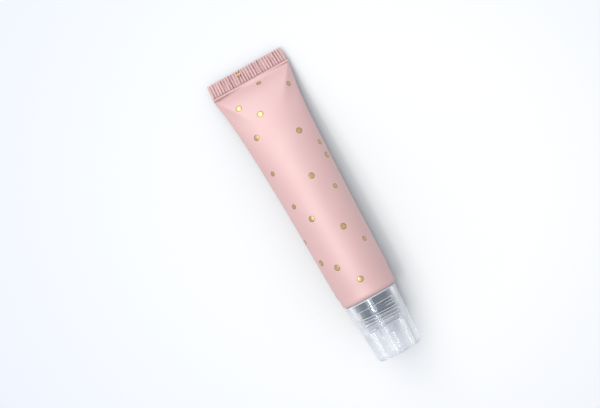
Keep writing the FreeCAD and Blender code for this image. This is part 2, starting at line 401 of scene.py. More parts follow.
@dataclass(frozen=True)
class SilverPlastic(GrainedFinish):
    """The head's silvery moulded plastic, which pales from the collar to the nozzle."""

    collar: tuple = (0.10, 0.135, 0.18)
    nozzle: tuple = (0.74, 0.77, 0.82)
    pale_start: float = 0.0365
    pale_end: float = 0.0415
    collar_metal: float = 0.35
    gloss_scale: float = 700.0
    smooth: float = 0.05
    dull: float = 0.09
    grain_scale: float = 1500.0
    grain_depth: float = 0.000002

    def lay(self, nodes: Nodes) -> Socket:
        """Lay out a steel blue that pales along the tube, with a moulded gloss.

        Args:
            nodes: The empty tree.

        Returns:
            The whole shader's socket.
        """
        pale = nodes.spread(nodes.place_along(), 0.0, 1.0,
                            self.pale_start, self.pale_end)
        return nodes.socket("BsdfPrincipled", {
            "Base Color": nodes.blend(pale, self.collar, self.nozzle),
            "Metallic": nodes.spread(pale, self.collar_metal, 0.0, 0.0, 1.0),
            "Roughness": self.gloss(nodes),
            "Normal": self.grain(nodes),
        })


@dataclass(frozen=True)
class ClearPlastic(GrainedFinish):
    """The cap's clear moulding, which lets part of the light through to the floor."""

    tint: tuple = (0.975, 0.985, 1.0)
    haze: tuple = (0.90, 0.92, 0.95)
    haze_front: float = 0.03
    haze_side: float = 0.45
    slant_start: float = 0.12
    slant_end: float = 0.5
    # painted highlight: the rim's haze stands in for the pale line of its lit edge
    rim_highlight_haze: float = 0.6
    rim_start: float = 0.0311
    rim_end: float = 0.0314
    through: tuple = (0.91, 0.92, 0.94)
    bend: float = 1.45
    gloss_scale: float = 220.0
    smooth: float = 0.0
    dull: float = 0.03
    grain_scale: float = 260.0
    grain_depth: float = 0.000005
    grain_detail: float = 1.0

    def lay(self, nodes: Nodes) -> Socket:
        """Lay out a clear plastic, hazy at its sides, with a painted highlight of haze
        along its rim and a pale shadow.

        Args:
            nodes: The empty tree.

        Returns:
            The whole shader's socket.
        """
        clear = nodes.socket("BsdfPrincipled", {
            "Base Color": (*self.tint, 1.0),
            "Roughness": self.gloss(nodes),
            "IOR": self.bend,
            "Transmission Weight": 1.0,
            "Normal": self.grain(nodes),
        })
        slant = nodes.add("LayerWeight", {"Blend": 0.5}).outputs["Facing"]
        side_share = nodes.spread(slant, self.haze_front, self.haze_side,
                                  self.slant_start, self.slant_end)
        # Painted highlight: haze along the rim makes it show as a pale line.
        rim_highlight_share = nodes.spread(nodes.place_along(), self.rim_highlight_haze, 0.0,
                                 self.rim_start, self.rim_end)
        hazy = nodes.layered(nodes.greater(side_share, rim_highlight_share), clear,
                             nodes.matt(self.haze))
        shadow = nodes.socket("BsdfTransparent", {"Color": (*self.through, 1.0)})
        unseen = nodes.greater(nodes.ray("Shadow"), nodes.ray("Diffuse"))
        return nodes.layered(unseen, hazy, shadow)


@dataclass(frozen=True)
class SoftBalm(GrainedFinish):
    """The balm: a soft, slightly uneven cream with a waxy gloss."""

    light: tuple = (0.86, 0.72, 0.66)
    dark: tuple = (0.80, 0.62, 0.56)
    mottle_scale: float = 260.0
    gloss_scale: float = 500.0
    smooth: float = 0.38
    dull: float = 0.55
    grain_scale: float = 350.0
    grain_depth: float = 0.00008

    def lay(self, nodes: Nodes) -> Socket:
        """Lay out a mottled cream with soft relief.

        Args:
            nodes: The empty tree.

        Returns:
            The whole shader's socket.
        """
        return nodes.socket("BsdfPrincipled", {
            "Base Color": nodes.mottle(self.mottle_scale, self.light, self.dark),
            "Roughness": self.gloss(nodes),
            "Normal": self.grain(nodes),
        })


@dataclass(frozen=True)
class PaleSurface(Finish):
    """The pale surface that the tube lies on, with a painted pool of light: whitest round
    one place, and painted dimmer and bluer away from it.
    """

    # Painted light: the floor is painted whitest round one place and dimmer and bluer
    # away from it.
    painted_pool_white: tuple = (0.99, 0.99, 0.985)
    painted_dimming: tuple = (0.795, 0.828, 0.905)
    painted_pool_centre: tuple = (0.008, 0.024, 0.0)
    painted_pool_reach: float = 0.045
    painted_dimming_reach: float = 0.165

    def lay(self, nodes: Nodes) -> Socket:
        """Lay out a matt white with a painted pool of light, painted dimmer and cooler
        away from its whitest place.

        Args:
            nodes: The empty tree.

        Returns:
            The whole shader's socket.
        """
        distance = nodes.add("VectorMath", {0: nodes.place(), 1: self.painted_pool_centre},
                             operation="DISTANCE")
        painted_dimming = nodes.spread(distance.outputs["Value"], 0.0, 1.0,
                           self.painted_pool_reach, self.painted_dimming_reach)
        return nodes.socket("BsdfDiffuse",
                            {"Color": nodes.blend(painted_dimming, self.painted_pool_white, self.painted_dimming)})


# ---------------------------------------------------------------- making a piece


@dataclass(frozen=True)
class Role:
    """What a piece is in the assembly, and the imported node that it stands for."""

    name: str
    body: Body
    node: str


def add_object(name: str, data: bpy.types.ID) -> bpy.types.Object:
    """Add an object with its data to the scene.

    Args:
        name: The object's name.
        data: Its mesh, lamp or camera.

    Returns:
        The new object.
    """
    added = bpy.data.objects.new(name, data)
    bpy.context.scene.collection.objects.link(added)
    return added


class SubAssembly(ABC):
    """One group of pieces, which it builds and dresses."""

    @abstractmethod
    def build(self) -> list[Piece]:
        """Build the pieces.

        Returns:
            The pieces' objects.
        """

    @staticmethod
    def finished(shape: Shape, role: Role, finish: Finish,
                 crease: float) -> Piece:
        """Turn a shape in millimetres into a piece that rides on its body.

        Args:
            shape: The shape, which is freed.
            role: The piece's name, its body and the node it stands for.
            finish: The surface finish.
            crease: The angle between faces, in degrees, that shows as an edge.

        Returns:
            The piece's object.
        """
        bmesh.ops.remove_doubles(shape, verts=shape.verts, dist=WELD)
        bmesh.ops.dissolve_degenerate(shape, edges=shape.edges, dist=WELD / 5)
        bmesh.ops.recalc_face_normals(shape, faces=shape.faces)
        bmesh.ops.scale(shape, vec=(MM, MM, MM), verts=shape.verts)
        mesh = bpy.data.meshes.new(role.name)
        shape.to_mesh(mesh)
        shape.free()
        mesh.shade_smooth()
        mesh.set_sharp_from_angle(angle=math.radians(crease))
        mesh.materials.append(finish.build())
        piece = add_object(role.name, mesh)
        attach(piece, role.body.value)
        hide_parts(role.node)
        return piece


@dataclass(frozen=True)
class Corner:
    """A corner of a turned piece's half profile."""

    x: float
    radius: float
    rounding: float = 0.0


@dataclass(frozen=True)
class Helix:
    """A thread's helix, as a raised or sunk band on a turned wall."""

    start_x: float
    pitch: float
    turns: float
    foot_width: float
    crest_width: float
    height: float
    run_out: float = 0.12

    def height_at(self, x: float, angle: float) -> float:
        """Return how far the band stands off the wall at a place.

        Args:
            x: The place along the axis.
            angle: The angle round the axis, in radians from 0 to a full turn.

        Returns:
            The height, 0 away from the band.
        """
        found = 0.0
        flank = (self.foot_width - self.crest_width) / 2
        for lap in range(math.ceil(self.turns) + 1):
            turned = lap + angle / math.tau
            if not 0 <= turned <= self.turns:
                continue
            off_middle = abs(x - self.start_x - self.pitch * turned)
            side = 1 - ease(0, flank, off_middle - self.crest_width / 2)
            ends = (ease(0, self.run_out, turned)
                    * ease(0, self.run_out, self.turns - turned))
            found = max(found, side * ends)
        return found * self.height


ROW_STEP = 0.22
THREAD_STEP = 0.07


def spin_profile(corners: list[Corner], steps: int, thread_wall: float,
                 arc_segments: int = 6) -> Shape:
    """Turn a half profile about the X axis into a closed shape.

    Args:
        corners: The half profile's corners in order, which close on themselves.
        steps: How many steps the turn has.
        thread_wall: The radius of the wall that will carry a thread.
        arc_segments: How many edges a rounded corner has.

    Returns:
        The turned shape, with its axis on the X axis.
    """
    shape = bmesh.new()
    verts = [shape.verts.new((corner.x, 0, corner.radius)) for corner in corners]
    shape.faces.new(verts)
    count = len(corners)
    for i, corner in enumerate(corners):
        if corner.rounding == 0:
            continue
        here = Vector((corner.x, corner.radius))
        back, on = corners[i - 1], corners[(i + 1) % count]
        angle = (Vector((back.x, back.radius)) - here).angle(
            Vector((on.x, on.radius)) - here)
        bmesh.ops.bevel(shape, geom=[verts[i]], affect="VERTICES", profile=0.5,
                        offset=corner.rounding / math.tan(angle / 2),
                        segments=arc_segments, material=-1)
    bmesh.ops.delete(shape, geom=shape.faces[:], context="FACES_ONLY")
    on_axis = [edge for edge in shape.edges
               if all(abs(vert.co.z) < WELD for vert in edge.verts)]
    bmesh.ops.delete(shape, geom=on_axis, context="EDGES")
    for edge in shape.edges[:]:
        threaded = all(abs(vert.co.z - thread_wall) < WELD for vert in edge.verts)
        longest = THREAD_STEP if threaded else ROW_STEP
        cuts = math.ceil(edge.calc_length() / longest) - 1
        if cuts > 0:
            bmesh.ops.subdivide_edges(shape, edges=[edge], cuts=cuts)
    bmesh.ops.spin(shape, geom=shape.verts[:] + shape.edges[:], cent=(0, 0, 0),
                   axis=(1, 0, 0), angle=math.tau, steps=steps, use_merge=True)
    bmesh.ops.remove_doubles(shape, verts=shape.verts, dist=WELD)
    return shape


def cut_thread(shape: Shape, helix: Helix, wall: float,
               start_x: float, end_x: float) -> None:
    """Push a turned wall out along a helix.

    Args:
        shape: The turned shape, with its axis on the X axis.
        helix: The thread.
        wall: The radius of the wall that carries it.
        start_x: Where the carrying wall starts.
        end_x: Where it ends.
    """
    for vert in shape.verts:
        x, y, z = vert.co
        radius = math.hypot(y, z)
        if abs(radius - wall) > WELD * 10 or not start_x <= x <= end_x:
            continue
        raised = helix.height_at(x, math.atan2(y, z) % math.tau)
        vert.co.y = y * (radius + raised) / radius
        vert.co.z = z * (radius + raised) / radius


# ---------------------------------------------------------------- the sleeve's form


@dataclass(eq=False)
class SleeveForm:
    """The sleeve's outer form, worked out from the place along it and round it."""

    places: Places
    radius: float = 9.5
    wall: float = 0.45
    # the body
    lip_length: float = 0.7
    lip_power: float = 0.8
    crimp_length: float = 4.25
    gather: float = 1.6
    flare_width: float = 1.9
    flare_length: float = 12.5
    spread_ease: float = 1.3
    foot_thickness: float = 3.0
    height_ease: float = 3.0
    height_power: float = 0.75
    swell_start: float = 1.6
    swell_start_power: float = 1.3
    lift_height: float = 0.8
    lift_length: float = 20.0
    rim_length: float = 3.0
    shoulder_waist: float = 0.35
    waist_start: float = 67.5
    waist_end: float = 74.0
    # the crimp
    crimp_thickness: float = 0.9
    crimp_step: float = 0.1
    crimp_taper: float = 0.3
    rib_count: int = 28
    rib_height: float = 0.2
    rib_end_length: float = 0.45
    rib_end_gap: float = 0.12
    rib_sway: float = 0.1
    rib_unevenness: float = 0.9
    groove_power: float = 0.75
    flattest_rib: float = 0.7
    highest_rib: float = 1.3
    # painted shade in the pressed grooves, and in a line along the foot of the ribs
    lightest_groove_shade: float = 0.12
    deepest_groove_shade: float = 0.54
    painted_foot_shade: float = 0.5
    painted_foot_shade_at: float = 0.05
    painted_foot_shade_width: float = 0.16
    # the folds beside the seal
    ridge_fall: float = 0.0425
    plateau: float = 0.97
    plateau_crown: float = 0.28
    ridge_blend: float = 0.17
    fold_share: float = 0.85
    fold_rise: Span = (-0.6, 0.5)
    fold_fall: Span = (4.5, 15.0)
    crease_at: float = 0.5
    crease_width: float = 0.3
    crease_depth: float = 0.24
    # painted shade in the crease under the lip
    painted_crease_shade: float = 0.15
    crease_rise: Span = (-14.5, -11.0)
    crease_fall: Span = (-9.5, 1.5)
    # the soft wall of the body
    dent_depth: float = 0.11
    dent_rise: Span = (2.0, 10.0)
    dent_fall: Span = (60.0, 68.0)
    dent_above: Span = (0.5, 5.0)
    dent_length: float = 17.0
    dent_width: float = 9.0

    def __post_init__(self) -> None:
        """Work out the places that follow from the sizes."""
        self.lip_x = self.places.tail_x + self.crimp_length
        self.body_x = self.lip_x + self.lip_length
        self.length = self.places.shoulder_x - self.body_x
        self.taper_length = self.length - self.rim_length
        self.sink = self.radius - self.places.axis_z
        self.foot_half = math.pi * self.radius / 2 - self.gather
        self.crimp_half = self.foot_half - self.crimp_step
        self.slow_spread = self.foot_half - self.radius - self.flare_width

    def taper_left(self, along: float) -> float:
        """Return the share of the taper still to come: 1 at the seal, 0 at the rim."""
        return min(1.0, max(0.0, 1 - along / self.taper_length))

    def waist(self, along: float) -> float:
        """Return how far the sleeve draws in over the edge of the shoulder."""
        return self.shoulder_waist * ease(self.waist_start, self.waist_end, along)

    @lru_cache(maxsize=None)
    def half_width(self, along: float) -> float:
        """Return half the sleeve's width, seal and crimp included.

        Args:
            along: The distance from the foot of the seal.

        Returns:
            Half the width.
        """
        if along < 0:
            share = min(1.0, -along / self.lip_length)
            taper = self.crimp_taper * max(0.0, -along - self.lip_length)
            return (mix(self.foot_half, self.crimp_half, ease(0, 1, share))
                    - taper / self.crimp_length)
        left = self.taper_left(along)
        spread = self.slow_spread * left ** self.spread_ease
        flare = self.flare_width * left ** (self.taper_length / self.flare_length)
        return self.radius + spread + flare - self.waist(along)

    @lru_cache(maxsize=None)
    def half_height(self, along: float) -> float:
        """Return half the sleeve's height, seal and crimp included.

        Args:
            along: The distance from the foot of the seal.

        Returns:
            Half the height.
        """
        foot, flat = self.foot_thickness / 2, self.crimp_thickness / 2
        if along < -self.lip_length:
            return flat
        if along < 0:
            share = 1 + along / self.lip_length
            return mix(flat, foot, math.sin(share * QUARTER_TURN) ** self.lip_power)
        left = self.taper_left(along)
        swell = (1 - left ** self.height_ease) ** self.height_power
        swell *= 1 - math.exp(-(along / self.swell_start) ** self.swell_start_power)
        return foot + (self.radius - foot) * swell - self.waist(along)

    @lru_cache(maxsize=None)
    def centre_height(self, along: float) -> float:
        """Return the height of the section's centre above the surface.

        Args:
            along: The distance from the foot of the seal.

        Returns:
            The height.
        """
        if along < 0:
            return self.foot_thickness / 2 - self.sink + self.lift_height
        rise = max(0.0, 1 - along / self.lift_length)
        base = self.half_height(along) + self.waist(along)
        return base - self.sink + self.lift_height * rise ** 2

    @lru_cache(maxsize=None)
    def fold_weight(self, along: float) -> float:
        """Return how strongly the corner folds shape the body there."""
        rise, fall = ease(*self.fold_rise, along), ease(*self.fold_fall, along)
        return self.fold_share * rise * (1 - fall)

    def section_rise(self, along: float, turn: float) -> float:
        """Return the section's height there as a share of its half height.

        Args:
            along: The distance from the foot of the seal.
            turn: The angle round the tube.

        Returns:
            The share, from 1 at the top to -1 at the underside.
        """
        round_rise = math.cos(turn)
        weight = self.fold_weight(along)
        if weight == 0:
            return round_rise
        side = abs(math.sin(turn))
        ridge = 1 - self.ridge_fall * along
        ridge_rise = self.plateau - self.plateau_crown * ridge ** 2
        flat = self.plateau - self.plateau_crown * side ** 2
        steep = ridge_rise / max(0.01, 1 - ridge) * (1 - side)
        folded = max(0.0, soft_lower(flat, steep, self.ridge_blend))
        return mix(abs(round_rise), folded, weight) * math.copysign(1, round_rise)

    def crease(self, along: float, across: float) -> float:
        """Return the depth of the crease under the lip, deepest on the -Y side.

        Args:
            along: The distance from the foot of the seal.
            across: The distance from the sleeve's middle line, towards +Y.

        Returns:
            The depth.
        """
        rise, fall = ease(*self.crease_rise, across), ease(*self.crease_fall, across)
        line = bell(along, self.crease_at, self.crease_width)
        return self.crease_depth * ((1 - fall) * rise) * line

    def dent(self, point: Vector, along: float) -> float:
        """Return how far the soft wall swells or sinks at a point of the body.

        Args:
            point: The point, before the wall moves.
            along: The distance from the foot of the seal.

        Returns:
            The distance outwards, negative where the wall sinks.
        """
        share = ease(*self.dent_rise, along) * (1 - ease(*self.dent_fall, along))
        share *= ease(*self.dent_above, point.z)
        if share == 0:
            return 0.0
        place = Vector((point.x / self.dent_length, point.y / self.dent_width,
                        point.z / self.dent_width))
        return self.dent_depth * share * noise.noise(place)

    def body_point(self, along: float, turn: float, inset: float = 0.0) -> Vector:
        """Return a point of the open body.

        Args:
            along: The distance from the foot of the seal.
            turn: The angle round the tube.
            inset: How far inside the outer face the point lies.

        Returns:
            The point.
        """
        wide = self.half_width(along) - inset
        high = self.half_height(along) - inset
        across = wide * math.sin(turn)
        rise = high * self.section_rise(along, turn)
        point = Vector((self.body_x + along, across, self.centre_height(along) + rise))
        if rise > 0:
            point.z -= self.crease(along, across)
        outward = Vector((0, math.sin(turn) / wide, math.cos(turn) / high)).normalized()
        point += outward * self.dent(point, along)
        point.z = max(inset, point.z)
        return point

    def rib_fade(self, along: float) -> float:
        """Return the share of their height that the crimp's ribs have there."""
        from_lip = along + self.lip_length + self.rib_end_gap
        return 1 - ease(0, self.rib_end_length, from_lip)

    def groove(self, along: float, strip: float) -> tuple[float, float]:
        """Describe the groove beside a place on the crimp.

        Args:
            along: The distance from the foot of the seal, negative in the crimp.
            strip: The place across the crimp, from -1 to 1.

        Returns:
            The share of the groove's depth there, and how deep the groove is pressed,
            from 0 to 1.
        """
        phase = (strip + 1) / 2 * self.rib_count
        sway = noise.noise(Vector((along * 0.5, phase * 0.8, 2.6)))
        phase += self.rib_sway * sway
        uneven = noise.noise(Vector((round(phase) * 1.7, along * 0.12, 5.2)))
        pressed = 0.5 + self.rib_unevenness * uneven
        share = 1 - abs(math.sin(math.pi * phase)) ** self.groove_power
        return share, min(1.0, max(0.0, pressed))

    def rib_wave(self, along: float, strip: float) -> float:
        """Return the height of the crimp's ribs.

        Args:
            along: The distance from the foot of the seal, negative in the crimp.
            strip: The place across the crimp, from -1 to 1.

        Returns:
            The height above or below the crimp's mean face.
        """
        fade = self.rib_fade(along)
        if fade == 0:
            return 0.0
        share, pressed = self.groove(along, strip)
        height = self.rib_height * mix(self.flattest_rib, self.highest_rib, pressed)
        return height * fade * (1 - 2 * share)

    def painted_shade_depth(self, along: float, strip: float) -> float:
        """Return how dark a place of the sleeve is painted, as painted shade in the
        pressed grooves, along the foot of the ribs and in the crease.

        Args:
            along: The distance from the foot of the seal.
            strip: The place across the sleeve, from -1 to 1.

        Returns:
            The share of painted shade, from 0 to 1.
        """
        # Painted shade along the foot of the ribs.
        foot_shade = self.painted_foot_shade * bell(
            along, -self.lip_length - self.painted_foot_shade_at, self.painted_foot_shade_width)
        if along < -self.lip_length:
            share, pressed = self.groove(along, strip)
            depth = mix(self.lightest_groove_shade, self.deepest_groove_shade, pressed)
            return max(share ** 1.5 * depth * self.rib_fade(along),
                       foot_shade * mix(0.5, 1.0, pressed))
        crease = self.crease(along, strip * self.half_width(along))
        return max(foot_shade, crease / self.crease_depth * self.painted_crease_shade)

    def strip_point(self, along: float, strip: float, level: float) -> Vector:
        """Return a point of the flat seal.

        Args:
            along: The distance from the foot of the seal, negative in the crimp.
            strip: The place across the crimp, from -1 to 1.
            level: The place through its thickness, from -1 to 1.

        Returns:
            The point.
        """
        rise = self.half_height(along) * level + self.rib_wave(along, strip)
        return Vector((self.body_x + along, self.half_width(along) * strip,
                       self.centre_height(along) + rise))


# ---------------------------------------------------------------- the sleeve


@dataclass(frozen=True)
class Station:
    """One row of the sleeve's mesh."""

    along: float
    inset: float = 0.0
    opened: float = 1.0


def stations(start: float, end: float, step: float, inset: float = 0.0) -> list[Station]:
    """Return evenly spaced rows after start, the last of them at end.

    Args:
        start: The place before the first row.
        end: The last row's place.
        step: The widest spacing allowed.
        inset: How far inside the outer face the rows lie.

    Returns:
        The rows in order.
    """
    count = max(1, math.ceil(abs(end - start) / step - 1e-6))
    return [Station(mix(start, end, (i + 1) / count), inset) for i in range(count)]


@dataclass
class Sleeve(SubAssembly):
    """The printed sleeve: one closed shell from the crimp to the turned-in rim."""

    form: SleeveForm
    finish: Finish
    columns_per_rib: int = 8
    edge_columns: int = 4
    edge_round: float = 0.3
    tail_round: float = 0.28
    tail_steps: int = 4
    rim_round_length: float = 1.4
    rim_steps: int = 9
    rim_bore: float = 8.0
    cavity_start: float = 0.8
    inner_bend: float = 12.0
    painted_shade_end: float = 1.5
    seal_blend: float = 0.4
    even_from: float = 14.0

    def __post_init__(self) -> None:
        """Work out the number of columns on each face."""
        self.side_columns = (self.form.rib_count * self.columns_per_rib
                             + 2 * self.edge_columns)

    def seal_rows(self) -> list[Station]:
        """Return the rows of the crimp and the lip, from the tail's closed edge.

        Returns:
            The rows in order.
        """
        form = self.form
        tail = -form.lip_length - form.crimp_length
        rows = []
        for i in range(self.tail_steps + 1):
            angle = i / self.tail_steps * QUARTER_TURN
            inwards = self.tail_round * (1 - math.cos(angle))
            rows.append(Station(tail + inwards, opened=math.sin(angle)))
        rib_end = -form.lip_length - form.rib_end_length
        rows += stations(rows[-1].along, rib_end, 0.4)
        return rows + stations(rib_end, -0.06, 0.11)

    def body_rows(self) -> list[Station]:
        """Return the rows of the open body, closer together beside the seal.

        Returns:
            The rows in order.
        """
        bends = [(0.0, 1.6, 0.13), (1.6, 6.0, 0.3), (6.0, 16.0, 0.55)]
        rim_start = self.form.length - self.rim_round_length
        bends += [(16.0, 66.0, 1.2), (66.0, rim_start, 0.6)]
        rows = [Station(0.0)]
        for start, end, step in bends:
            rows += stations(start, end, step)
        return rows

    def rim_rows(self) -> list[Station]:
        """Return the rows that round the rim, turn in and run back inside.

        Returns:
            The rows in order.
        """
        form = self.form
        rim_start = form.length - self.rim_round_length
        end_radius = form.radius - form.waist(form.length)
        rows = []
        steps = self.rim_steps
        for layer, order in ((0.0, range(1, steps + 1)),
                             (form.wall, range(steps, -1, -1))):
            length = self.rim_round_length - layer
            reach = end_radius - layer - self.rim_bore
            for i in order:
                angle = i / steps * QUARTER_TURN
                radius = self.rim_bore + reach * math.cos(angle)
                rows.append(Station(rim_start + length * math.sin(angle),
                                    inset=end_radius - radius))
        return rows

    def inner_rows(self) -> list[Station]:
        """Return the rows of the inner skin, back to where the cavity closes.

        Returns:
            The rows in order.
        """
        rim_start = self.form.length - self.rim_round_length
        wall = self.form.wall
        rows = stations(rim_start, self.inner_bend, 5.0, wall)
        rows += stations(self.inner_bend, self.cavity_start, 1.2, wall)
        rows.append(Station(self.cavity_start, inset=wall, opened=0.0))
        return rows

    def column(self, number: int) -> tuple[float, float, float, float]:
        """Describe one column of the mesh.

        Args:
            number: The column, counted once round from the -Y edge over the top.

        Returns:
            The place across from -1 to 1, the face's side, the share of the thickness
            and the turn that the column has where columns are evenly spread.
        """
        side = 1.0 if number <= self.side_columns else -1.0
        step = number if side > 0 else 2 * self.side_columns - number
        edge = self.edge_round / self.form.foot_half
        from_edge = min(step, self.side_columns - step)
        if from_edge < self.edge_columns:
            angle = from_edge / self.edge_columns * QUARTER_TURN
            strip, level = -1 + edge * (1 - math.cos(angle)), math.sin(angle)
        else:
            flat = self.side_columns - 2 * self.edge_columns
            strip = -1 + edge + (from_edge - self.edge_columns) / flat * (2 - 2 * edge)
            level = 1.0
        if step > self.side_columns - step:
            strip = -strip
        even_turn = (2 * step / self.side_columns - 1) * QUARTER_TURN
        return strip, side, level, even_turn

    def point(self, station: Station, number: int) -> Vector:
        """Return the mesh's point at a row and a column.

        Args:
            station: The row.
            number: The column, counted once round from the -Y edge.

        Returns:
            The point.
        """
        form = self.form
        strip, side, level, even_turn = self.column(number)
        along = station.along
        flat = None
        if along < self.seal_blend:
            flat = form.strip_point(min(along, 0.0), strip, side * level * station.opened)
            flat.x = form.body_x + along
        if along < 0:
            return flat
        turn = mix(math.asin(strip), even_turn, ease(0.0, self.even_from, along))
        if side < 0:
            turn = math.pi - turn
        point = form.body_point(along, turn, station.inset)
        if station.opened < 1:
            point.z = mix(form.centre_height(along), point.z, station.opened)
        if flat is None or station.inset:
            return point
        return flat.lerp(point, ease(0.0, self.seal_blend, along))

    def build(self) -> list[Piece]:
        """Build the sleeve's shell from one grid, bent round and welded.

        Returns:
            A list with the piece's object.
        """
        rows = self.seal_rows() + self.body_rows() + self.rim_rows() + self.inner_rows()
        columns = 2 * self.side_columns
        shape = bmesh.new()
        bmesh.ops.create_grid(shape, x_segments=len(rows) - 1, y_segments=columns,
                              size=0.5)
        # Painted shade: the rows of the seal and the lip carry how dark the film is
        # painted there.
        painted_shade = shape.verts.layers.float.new(PAINTED_SHADE)
        for vert in shape.verts:
            row = round((vert.co.x + 0.5) * (len(rows) - 1))
            number = round((vert.co.y + 0.5) * columns)
            vert.co = self.point(rows[row], number)
            along = rows[row].along
            if along < self.painted_shade_end and not rows[row].inset:
                vert[painted_shade] = self.form.painted_shade_depth(along, self.column(number)[0])
        role = Role("sleeve_skin", Body.TUBE, "sleeve")
        return [self.finished(shape, role, self.finish, 50.0)]


# ---------------------------------------------------------------- the foil dots


class DotSize(Enum):
    """The two sizes of foil dot, by radius."""

    LARGE = 1.0
    SMALL = 0.8


@dataclass(frozen=True)
class Dot:
    """A foil dot's place: its share of the body's length, its turn and its size."""

    share: float
    degrees: float
    size: DotSize


LARGE, SMALL = DotSize.LARGE, DotSize.SMALL
SCATTER = [Dot(*place) for place in (
    (0.024, 8.0, SMALL), (0.077, -37.0, LARGE), (0.085, 53.4, SMALL),
    (0.140, -12.0, LARGE), (0.218, -38.2, LARGE), (0.275, 30.4, LARGE),
    (0.356, 62.4, SMALL), (0.377, -50.0, SMALL), (0.415, 64.6, LARGE),
    (0.459, 11.7, LARGE), (0.535, -45.3, SMALL), (0.541, 43.8, SMALL),
    (0.612, -25.1, LARGE), (0.682, -74.8, SMALL), (0.699, 18.5, LARGE),
    (0.783, 45.7, SMALL), (0.787, -59.1, LARGE), (0.833, -29.3, LARGE),
    (0.917, -0.9, LARGE),
    (0.060, 150.0, LARGE), (0.110, 212.0, SMALL), (0.170, 118.0, LARGE),
    (0.190, 247.0, SMALL), (0.240, 204.0, LARGE), (0.300, 152.0, SMALL),
    (0.345, 232.0, LARGE), (0.400, 122.0, SMALL), (0.450, 208.0, SMALL),
    (0.490, 98.0, LARGE), (0.510, 150.0, LARGE), (0.560, 251.0, LARGE),
    (0.620, 130.0, SMALL), (0.650, 212.0, SMALL), (0.720, 154.0, LARGE),
    (0.740, 100.0, SMALL), (0.800, 228.0, LARGE), (0.850, 126.0, SMALL),
    (0.905, 206.0, SMALL), (0.925, 104.0, SMALL), (0.940, 272.0, LARGE),
)]


@dataclass
class FoilDots(SubAssembly):
    """The gold foil dots: thin domed discs that follow the sleeve."""

    form: SleeveForm
    finish: Finish
    edge_height: float = 0.035
    middle_height: float = 0.075
    sunk: float = 0.04
    crimp_across: float = -2.3
    crimp_from_tail: float = 1.25
    steps: int = 36

    def blank(self, shape: Shape, radius: float, rings: int) -> list:
        """Spin a flat-bottomed dome about the Z axis.

        Args:
            shape: The shape that the disc is added to.
            radius: The disc's radius.
            rings: How many rings its top has.

        Returns:
            The disc's vertices, with their heights above the sleeve.
        """
        rounding = self.edge_height
        outline = [Vector((0, 0, -self.sunk)), Vector((radius, 0, -self.sunk)),
                   Vector((radius, 0, 0))]
        for i in range(rings + 1):
            reach = (radius - rounding) * (1 - i / rings)
            dome = 1 - (reach / (radius - rounding)) ** 2
            outline.append(Vector((reach, 0, mix(self.edge_height, self.middle_height,
                                                 dome))))
        reach_layer = shape.verts.layers.float[REACH]
        verts = []
        for place in outline:
            verts.append(shape.verts.new(place))
            verts[-1][reach_layer] = place.x / radius
        edges = [shape.edges.new(pair) for pair in zip(verts, verts[1:])]
        before = set(shape.verts) - set(verts)
        bmesh.ops.spin(shape, geom=verts + edges, cent=(0, 0, 0), axis=(0, 0, 1),
                       angle=math.tau, steps=self.steps, use_merge=True)
        return [vert for vert in shape.verts if vert not in before]

    def lay_on_body(self, shape: Shape, dot: Dot) -> None:
        """Lay one disc on the body, square to the wall under its middle.

        Args:
            shape: The shape that the disc is added to.
            dot: The disc's place and size.
        """
        form = self.form
        along, turn = dot.share * form.length, math.radians(dot.degrees)
        nudge = 0.01
        middle = form.body_point(along, turn)
        by_along = (form.body_point(along + nudge, turn) - middle) / nudge
        by_turn = (form.body_point(along, turn + nudge) - middle) / nudge
        normal = by_along.cross(by_turn).normalized()
        if normal.dot(Vector((0, math.sin(turn), math.cos(turn)))) < 0:
            normal.negate()
        ahead = by_along.normalized()
        sideways = normal.cross(ahead)
        to_form = Matrix((
            (by_along.dot(ahead), by_turn.dot(ahead)),
            (by_along.dot(sideways), by_turn.dot(sideways)),
        )).inverted()
        for vert in self.blank(shape, dot.size.value, 5):
            x, y, height = vert.co
            step = to_form @ Vector((x, y))
            vert.co = form.body_point(along + step.x, turn + step.y) + normal * height

    def lay_on_crimp(self, shape: Shape) -> None:
        """Lay the one disc that falls on the crimp over its ribs.

        Args:
            shape: The shape that the disc is added to.
        """
        form = self.form
        tail = -form.lip_length - form.crimp_length
        for vert in self.blank(shape, SMALL.value, 12):
            x, y, height = vert.co
            along = tail + self.crimp_from_tail + x
            strip = (self.crimp_across + y) / form.half_width(along)
            vert.co = form.strip_point(along, strip, 1.0) + Vector((0, 0, height))

    def build(self) -> list[Piece]:
        """Build every disc as one piece.

        Returns:
            A list with the piece's object.
        """
        shape = bmesh.new()
        shape.verts.layers.float.new(REACH)
        for dot in SCATTER:
            self.lay_on_body(shape, dot)
        self.lay_on_crimp(shape)
        role = Role("gold_dots", Body.TUBE, "foil_dots")
        return [self.finished(shape, role, self.finish, 60.0)]


# ---------------------------------------------------------------- the head and the cap


THREAD_PITCH = 2.0
THREAD_TURNS = 2.6
THREAD_HEIGHT = 0.6


